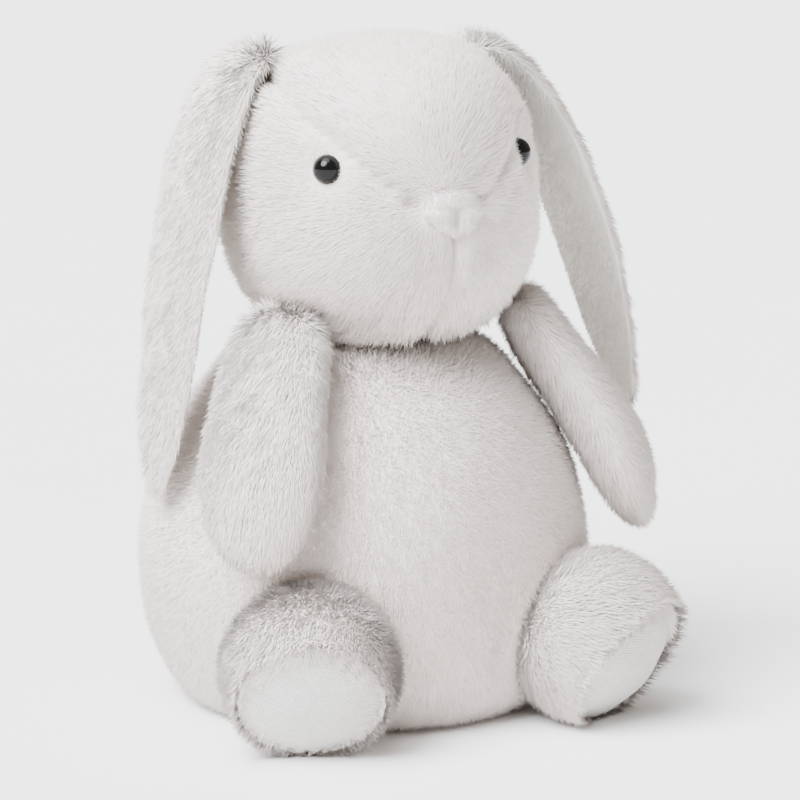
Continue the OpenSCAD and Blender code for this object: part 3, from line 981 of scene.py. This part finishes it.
def linenMaterial(name, matrix):
    # plain weave drawn on the sole's own plane
    material, nodes, links, shader, place = startMaterial(name)
    turn = nodes.new("ShaderNodeMapping")
    turn.inputs["Rotation"].default_value = matrix.to_3x3().inverted().to_euler()
    links.new(place, turn.inputs["Vector"])
    flat = turn.outputs["Vector"]
    threads = []
    for direction in ("X", "Y"):
        wave = nodes.new("ShaderNodeTexWave")
        wave.wave_type = "BANDS"
        wave.bands_direction = direction
        wave.wave_profile = "SIN"
        wave.inputs["Scale"].default_value = 240
        wave.inputs["Distortion"].default_value = 1.2
        wave.inputs["Detail"].default_value = 2
        links.new(flat, wave.inputs["Vector"])
        threads.append(wave.outputs["Fac"])
    weave = nodes.new("ShaderNodeMath")
    weave.operation = "MAXIMUM"
    links.new(threads[0], weave.inputs[0])
    links.new(threads[1], weave.inputs[1])
    slub = addNoise(nodes, links, flat, 240, 4, 0.7)
    color = addRamp(nodes, links, slub, (0.80, 0.755, 0.71), (0.90, 0.87, 0.835), 0.3, 0.7)
    links.new(color, shader.inputs["Base Color"])
    first = addBump(nodes, links, shader, slub, 0.4, 0.0006)
    addBump(nodes, links, shader, weave.outputs["Value"], 1.0, 0.0009, first)
    shader.inputs["Roughness"].default_value = 0.9
    shader.inputs["Sheen Weight"].default_value = 0.15
    return material


for side in ("left", "right"):
    f = footValues
    flip = Matrix.Identity(4) if side == "left" else Matrix.Scale(-1, 4, (1, 0, 0))
    centre = footCentre[side].copy()
    centre.x = abs(centre.x)
    place = (flip @ Matrix.Translation(centre) @ Matrix.Rotation(math.radians(f["turn"][side]), 4, "Z")
             @ Matrix.Rotation(math.radians(90 + f["dip"]), 4, "X"))
    name = "foot" + side.capitalize()
    rimRadius = math.sqrt(f["radius"] ** 2 - f["reach"] ** 2)

    bm = bmesh.new()
    bmesh.ops.create_uvsphere(bm, u_segments=96, v_segments=48, radius=f["radius"] - 0.001)
    bmesh.ops.bisect_plane(bm, geom=bm.verts[:] + bm.edges[:] + bm.faces[:], plane_co=(0, 0, f["reach"]),
                           plane_no=(0, 0, 1), clear_outer=True)
    for v in bm.verts:
        co = v.co.copy()
        if co.y > 0:
            v.co.y *= f["toe"][side]
        angle = math.atan2(co.y, co.x)
        near = hill(co.z - f["reach"], 0.006)
        # gathers run back from the sole's seam
        v.co += Vector((co.x, co.y, 0)).normalized() * 0.0005 * near * math.sin(angle * f["pleats"])
        v.co += co.normalized() * 0.0012 * ripple(co, 0.03, 6 if side == "left" else 13)
    bmesh.ops.transform(bm, matrix=place, verts=bm.verts)
    bmesh.ops.recalc_face_normals(bm, faces=bm.faces)
    faceOutwards(bm, footCentre[side])
    ankle = Vector((0, 0.01, 0.06))
    fromFoot = place.inverted()
    dressSkin(name + "Upper", bm, "leg_" + side, ["foot_" + side + "_upper"],
              dict(footPile, combFrom=mix(footCentre[side], ankle, 0.9)),
              long=lambda c, m=fromFoot: 1 + 0.25 * hill((m @ c).z - f["reach"], 0.006))

    # sole: a domed disc whose edge is drawn into small puckers
    bm = spinOutline([(rimRadius * k / 20, 0) for k in range(21)], 128)
    for v in bm.verts:
        ring = min(1, v.co.xy.length / rimRadius)
        angle = math.atan2(v.co.y, v.co.x)
        tall = f["soleDome"] * (1 - ring ** 2.4) - 0.0015
        pucker = smoothStep(0.62, 0.97, ring) * (0.6 + 0.4 * math.sin(angle * 3.7))
        tall += 0.0013 * pucker * math.sin(angle * f["pleats"])
        tall += 0.0012 * ripple(v.co, 0.022, 8)
        if v.co.y > 0:
            v.co.y *= mix(1, f["toe"][side], 0.8)
        v.co.z = f["reach"] + tall
    bmesh.ops.transform(bm, matrix=place, verts=bm.verts)
    bmesh.ops.recalc_face_normals(bm, faces=bm.faces)
    faceOutwards(bm, footCentre[side])
    sole = toObject(bm, name + "Sole", linenMaterial("soleLinen" + side.capitalize(), place))
    # the foot's fur lies over the edge of the sole, most of all at the toe

    def edgeDensity(c, m=fromFoot):
        p = m @ c
        ring = p.xy.length / rimRadius
        start = 0.86 + 0.05 * math.cos(4 * math.atan2(p.y, p.x)) - 0.08 * smoothStep(0, rimRadius, p.y)
        return smoothStep(start, start + 0.07, ring)

    setPile(sole, edgeDensity, lambda c: 0.75)
    edgePile = dict(footPile, combFrom=place @ Vector((0, 0.05, 0.012)))
    edgeHair = growPile(name + "EdgePile", sole, edgePile, "leg_" + side)
    thicken(sole, 0.0015)
    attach(sole, "leg_" + side)
    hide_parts("foot_" + side + "_sole")
print("feet dressed")

# ---- tail ----

tailLow, tailHigh = (Vector(c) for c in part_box("tail_cover"))
tailPile = {
    "perSquareMm": 1.4, "long": 0.0105, "wide": 0.00042, "combFrom": (0, 0.095, 0.06),
    "rise": 1.0, "lean": 0.5, "ruffle": 0.45, "clump": 1.0, "clumpPerMetre": 60,
}
bm = bmesh.new()
tailRadius = (tailHigh.x - tailLow.x) / 2
tailMiddle = Vector((0, tailHigh.y - tailRadius, (tailLow.z + tailHigh.z) / 2))
bmesh.ops.create_uvsphere(bm, u_segments=48, v_segments=24, radius=tailRadius - 0.001)
bmesh.ops.translate(bm, verts=bm.verts, vec=tailMiddle)
bmesh.ops.bisect_plane(bm, geom=bm.verts[:] + bm.edges[:] + bm.faces[:],
                       plane_co=(0, tailLow.y + 0.001, tailMiddle.z), plane_no=(0, 1, -0.15),
                       clear_inner=True)
for v in bm.verts:
    v.co += (v.co - tailMiddle).normalized() * 0.0012 * ripple(v.co, 0.02, 3)
bmesh.ops.recalc_face_normals(bm, faces=bm.faces)
faceOutwards(bm, tailMiddle)
dressSkin("tailCover", bm, "torso", ["tail_cover"], tailPile)

# ---- fillings ----

fillingValues = {"voxel": 0.004, "loft": 0.0008}


def fibreMaterial(name, low, high, perMetre):
    material, nodes, links, shader, place = startMaterial(name)
    tufts = addNoise(nodes, links, place, perMetre, 5, 0.7)
    addColor(nodes, links, shader, tufts, low, high)
    addBump(nodes, links, shader, tufts, 0.8, 0.0015)
    shader.inputs["Roughness"].default_value = 1
    return material


fibre = fibreMaterial("stuffingFibre", (0.80, 0.80, 0.79), (0.92, 0.92, 0.91), 420)
bagCloth = fibreMaterial("beanBagCloth", (0.60, 0.55, 0.47), (0.72, 0.67, 0.58), 900)


def makeFilling(node, body, material):
    first, *others = node.split("_")
    name = first + "".join(word.capitalize() for word in others)
    piece = bpy.data.objects.new(name, frame["nodes"][node].data.copy())
    bpy.context.scene.collection.objects.link(piece)
    bm = bmesh.new()
    bm.from_mesh(piece.data)
    bmesh.ops.remove_doubles(bm, verts=bm.verts, dist=0.00002)
    bm.to_mesh(piece.data)
    bm.free()
    piece.data.materials.clear()
    piece.data.materials.append(material)
    remesh = piece.modifiers.new("even", "REMESH")
    remesh.mode = "VOXEL"
    remesh.voxel_size = fillingValues["voxel"]
    applyModifiers(piece)
    bm = bmesh.new()
    bm.from_mesh(piece.data)
    smoothAll(bm, 0.5)
    for v in bm.verts:
        v.co += v.normal * fillingValues["loft"] * (ripple(v.co, 0.012, 1) - 0.6)
    bm.to_mesh(piece.data)
    bm.free()
    piece.data.shade_smooth()
    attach(piece, body)
    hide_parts(node)


for node, body in (("body_stuffing", "torso"), ("neck_stuffing", "torso"), ("tail_stuffing", "torso"),
                   ("head_stuffing", "head"), ("arm_left_stuffing", "arm_left"),
                   ("arm_right_stuffing", "arm_right"), ("foot_left_stuffing", "leg_left"),
                   ("foot_right_stuffing", "leg_right")):
    makeFilling(node, body, fibre)
makeFilling("seat_bean_bag", "torso", bagCloth)
print("fillings made")

# ---- floor, lights and camera ----

studioValues = {
    "floorSize": 40,
        "sky": (1.0, 0.94, 0.89),
    "skyStrength": 0.6,
    "azimuth": -32,
    "elevation": 9,
    "distance": 1.6,
    "lens": 138.5,
    "aimRight": 0.0182,
    "aimUp": 0.1508,
}
bm = bmesh.new()
bmesh.ops.create_grid(bm, x_segments=4, y_segments=4, size=studioValues["floorSize"])
floorMaterial, floorNodes, floorLinks, floorShader, floorPlace = startMaterial("studioFloor")
floorTone = addNoise(floorNodes, floorLinks, floorPlace, 3)
floorLinks.new(addRamp(floorNodes, floorLinks, floorTone, (0.955, 0.95, 0.94), (0.97, 0.965, 0.955)),
               floorShader.inputs["Base Color"])
floorShader.inputs["Roughness"].default_value = 0.8
floor = toObject(bm, "studioFloor", floorMaterial)

world = bpy.data.worlds.new("studio")
world.use_nodes = True
world.node_tree.nodes["Background"].inputs["Color"].default_value = (*studioValues["sky"], 1)
world.node_tree.nodes["Background"].inputs["Strength"].default_value = studioValues["skyStrength"]
bpy.context.scene.world = world


def addSun(name, azimuth, elevation, strength, spread, color):
    # one broad soft source, given by where it stands round the toy
    lamp = bpy.data.lights.new(name, "SUN")
    lamp.energy = strength
    lamp.angle = math.radians(spread)
    lamp.color = color
    turn, lift = math.radians(azimuth), math.radians(elevation)
    place = Vector((math.sin(turn) * math.cos(lift), -math.cos(turn) * math.cos(lift), math.sin(lift)))
    holder = bpy.data.objects.new(name, lamp)
    holder.location = place * 2
    holder.rotation_euler = place.to_track_quat("Z", "Y").to_euler()
    bpy.context.scene.collection.objects.link(holder)


addSun("keySun", -74, 46, 10.4, 40, (0.92, 0.95, 1.0))
addSun("topSun", -80, 70, 4.8, 50, (0.94, 0.965, 1.0))

az, el = math.radians(studioValues["azimuth"]), math.radians(studioValues["elevation"])
towards = Vector((math.sin(az) * math.cos(el), -math.cos(az) * math.cos(el), math.sin(el)))
sideways = Vector((math.cos(az), math.sin(az), 0))
upwards = towards.cross(sideways)
aim = sideways * studioValues["aimRight"] + upwards * studioValues["aimUp"]
camera = bpy.data.cameras.new("camera")
camera.lens = studioValues["lens"]
camera.sensor_width = 36
cameraHolder = bpy.data.objects.new("camera", camera)
cameraHolder.matrix_world = Matrix((
    (sideways.x, upwards.x, towards.x, aim.x + towards.x * studioValues["distance"]),
    (sideways.y, upwards.y, towards.y, aim.y + towards.y * studioValues["distance"]),
    (sideways.z, upwards.z, towards.z, aim.z + towards.z * studioValues["distance"]),
    (0, 0, 0, 1)))
bpy.context.scene.collection.objects.link(cameraHolder)
bpy.context.scene.camera = cameraHolder

print("scene ready")
